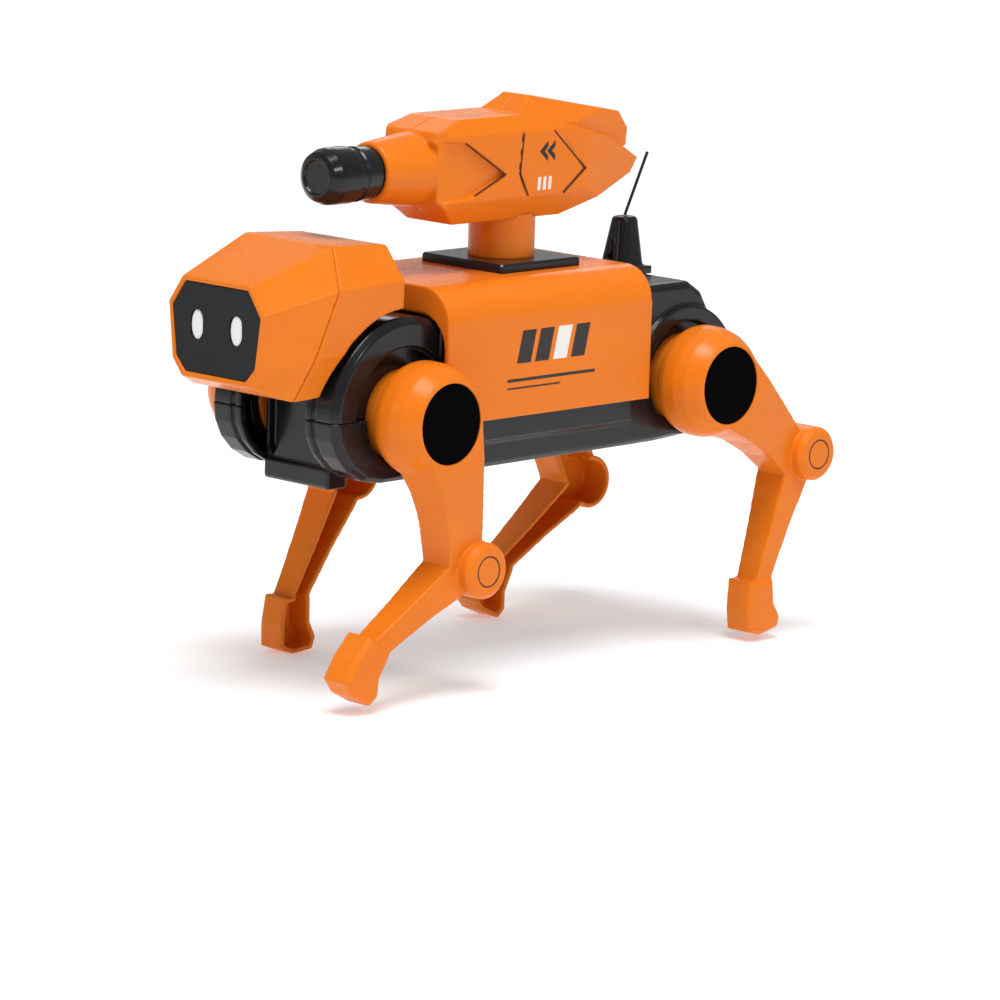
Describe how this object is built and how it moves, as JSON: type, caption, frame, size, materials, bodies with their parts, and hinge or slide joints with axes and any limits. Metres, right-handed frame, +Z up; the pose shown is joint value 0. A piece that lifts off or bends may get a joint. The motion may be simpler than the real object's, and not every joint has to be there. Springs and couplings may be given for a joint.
{
  "type": "toy robot dog",
  "caption": "Walking robot dog kit: linked swinging legs on a split chassis, saddle cover, panelled head, swivelling turret and aerial.",
  "frame": {"origin": "on the floor the boots stand on, on the middle plane, halfway between the front and rear hip axes", "axes": "+Z up, the dog looks along -Y, +X towards its left side"},
  "size_m": [0.0898, 0.2133, 0.1642],
  "materials": {
    "orange_shell": "glossy moulded ABS",
    "black_moulding": "glossy moulded ABS",
    "black_panel": "glossy panel",
    "eye_white": "glossy domes",
    "gear_nylon": "natural nylon",
    "steel": "plated steel",
    "motor_steel": "plated can",
    "cell_sleeve": "plain sleeve",
    "contact_plate": "nickel plate",
    "board_green": "solder mask",
    "component_black": "moulded package",
    "socket_white": "moulded socket"
  },
  "bodies": {
    "chassis": {"lower_chassis": "black_moulding", "upper_chassis": "black_moulding", "battery_door": "black_moulding", "body_cover": "orange_shell", "head_front_shell": "orange_shell", "head_rear_shell": "orange_shell", "face_panel": "black_panel", "eye_lenses": "eye_white", "chin_block": "black_moulding", "head_screw": "steel", "turret_plate": "black_moulding", "antenna_base": "black_moulding", "antenna_rod": "black_moulding", "gearbox_case": "gear_nylon", "gearbox_cover": "gear_nylon", "gearbox_screws": "steel", "gear_shafts": "steel", "motor_can": "motor_steel", "motor_end_cap": "gear_nylon", "battery_cells": "cell_sleeve", "battery_contacts": "contact_plate", "receiver_board": "board_green", "receiver_chip": "component_black", "receiver_coil": "component_black", "receiver_crystal": "contact_plate", "receiver_socket": "socket_white", "switch_body": "component_black", "front_chassis_screws": "steel", "rear_chassis_screws": "steel"},
    "turret": {"turret_pivot": "black_moulding", "column_left_half": "orange_shell", "column_right_half": "orange_shell", "turret_left_half": "orange_shell", "turret_right_half": "orange_shell", "turret_barrel": "black_moulding"},
    "left_front": {"left_front_leg": "orange_shell", "left_front_hip_cap": "black_moulding"},
    "left_rear": {"left_rear_leg": "orange_shell", "left_rear_hip_cap": "black_moulding", "left_rear_lever_pin": "black_moulding"},
    "right_front": {"right_front_leg": "orange_shell", "right_front_hip_cap": "black_moulding"},
    "right_rear": {"right_rear_leg": "orange_shell", "right_rear_hip_cap": "black_moulding", "right_rear_lever_pin": "black_moulding"},
    "left_link": {"left_link_rod": "black_moulding"},
    "right_link": {"right_link_rod": "black_moulding"},
    "crank": {"crank_axle": "steel", "left_crank": "black_moulding", "right_crank": "black_moulding", "axle_gear": "gear_nylon"},
    "gear_slow": {"compound_gear_slow": "gear_nylon"},
    "gear_fast": {"compound_gear_fast": "gear_nylon"},
    "motor_rotor": {"motor_shaft": "steel", "motor_pinion": "gear_nylon"},
    "switch": {"switch_slider": "black_moulding"}
  },
  "joints": [
    {"name": "left_front_hip", "type": "hinge", "parent": "chassis", "child": "left_front", "pos_m": [0, -0.058, 0.0796], "axis": [1, 0, 0], "range_deg": [-1, 40]},
    {"name": "left_rear_hip", "type": "hinge", "parent": "chassis", "child": "left_rear", "pos_m": [0, 0.058, 0.0796], "axis": [1, 0, 0], "range_deg": [-40, 1]},
    {"name": "right_front_hip", "type": "hinge", "parent": "chassis", "child": "right_front", "pos_m": [0, -0.058, 0.0796], "axis": [1, 0, 0], "range_deg": [-34, 7]},
    {"name": "right_rear_hip", "type": "hinge", "parent": "chassis", "child": "right_rear", "pos_m": [0, 0.058, 0.0796], "axis": [1, 0, 0], "range_deg": [-7, 34]},
    {"name": "left_link_pivot", "type": "hinge", "parent": "left_front", "child": "left_link", "pos_m": [0, -0.05483, 0.08855], "axis": [1, 0, 0], "range_deg": [-40, 1]},
    {"name": "right_link_pivot", "type": "hinge", "parent": "right_front", "child": "right_link", "pos_m": [0, -0.06022, 0.08884], "axis": [1, 0, 0], "range_deg": [-7, 34]},
    {"name": "turret_yaw", "type": "hinge", "parent": "chassis", "child": "turret", "pos_m": [0, 0.0041, 0.1162], "axis": [0, 0, 1], "range_deg": [-150, 150]},
    {"name": "crank_spin", "type": "hinge", "parent": "chassis", "child": "crank", "pos_m": [0, 0.058, 0.0796], "axis": [1, 0, 0], "continuous": true},
    {"name": "gear_slow_spin", "type": "hinge", "parent": "chassis", "child": "gear_slow", "pos_m": [0, 0.048, 0.0796], "axis": [1, 0, 0], "continuous": true},
    {"name": "gear_fast_spin", "type": "hinge", "parent": "chassis", "child": "gear_fast", "pos_m": [0, 0.038, 0.0796], "axis": [1, 0, 0], "continuous": true},
    {"name": "motor_spin", "type": "hinge", "parent": "chassis", "child": "motor_rotor", "pos_m": [0, 0.028, 0.0796], "axis": [1, 0, 0], "continuous": true},
    {"name": "power_switch", "type": "slide", "parent": "chassis", "child": "switch", "axis": [1, 0, 0], "range_m": [0, 0.003]}
  ],
  "couplings": [
    {"joint": "left_rear_hip", "follows": "left_front_hip", "ratio": -1},
    {"joint": "left_link_pivot", "follows": "left_front_hip", "ratio": -1},
    {"joint": "right_rear_hip", "follows": "right_front_hip", "ratio": -1},
    {"joint": "right_link_pivot", "follows": "right_front_hip", "ratio": -1},
    {"joint": "gear_slow_spin", "follows": "crank_spin", "ratio": -3},
    {"joint": "gear_fast_spin", "follows": "crank_spin", "ratio": 9},
    {"joint": "motor_spin", "follows": "crank_spin", "ratio": -27}
  ]
}
